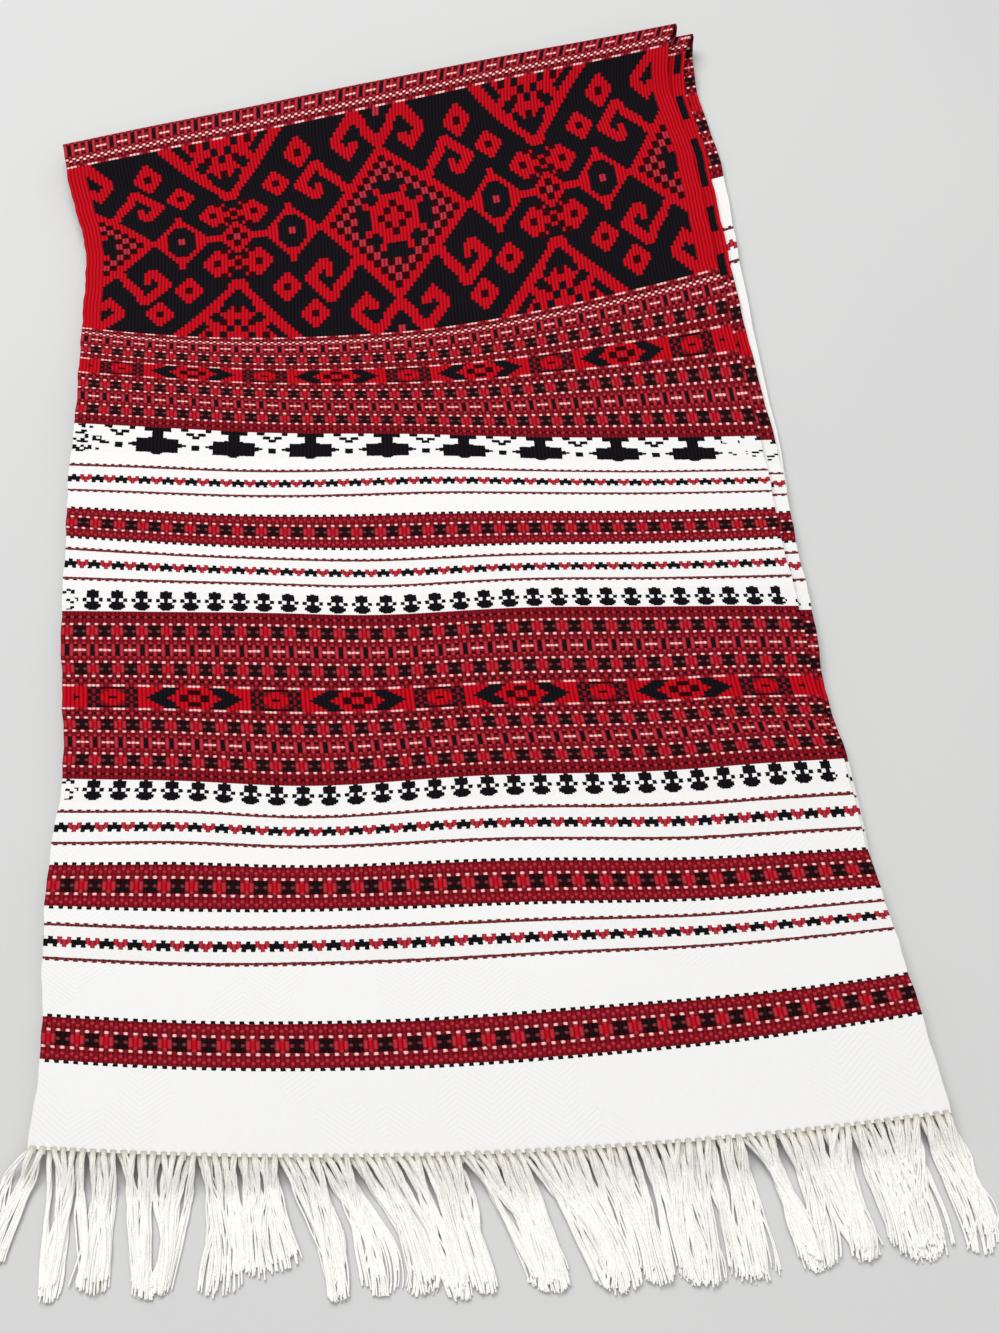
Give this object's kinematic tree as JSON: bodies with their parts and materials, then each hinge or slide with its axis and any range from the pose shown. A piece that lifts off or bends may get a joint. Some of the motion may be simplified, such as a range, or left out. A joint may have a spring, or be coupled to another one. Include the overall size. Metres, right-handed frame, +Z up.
{
  "type": "folded woven ritual towel",
  "caption": "Long hand-woven ritual towel folded flat in layers, with ornamental cross bands, a diamond field and a long fringe at the front.",
  "frame": {"origin": "middle of the underside of the whole towel's box, fringe included, on the surface that it lies on", "axes": "+X to the right across the towel as a viewer at the fringe sees it, +Y from the fringe to the outer fold, +Z up"},
  "size_m": [0.469, 0.7484, 0.02],
  "materials": {
    "woven_cotton": "soft matt weave in red, black and white",
    "fringe_cotton": "undyed twisted yarn"
  },
  "bodies": {
    "root": {"towel_cloth": "woven_cotton", "fringe_front": "fringe_cotton", "fringe_under": "fringe_cotton"}
  },
  "joints": []
}
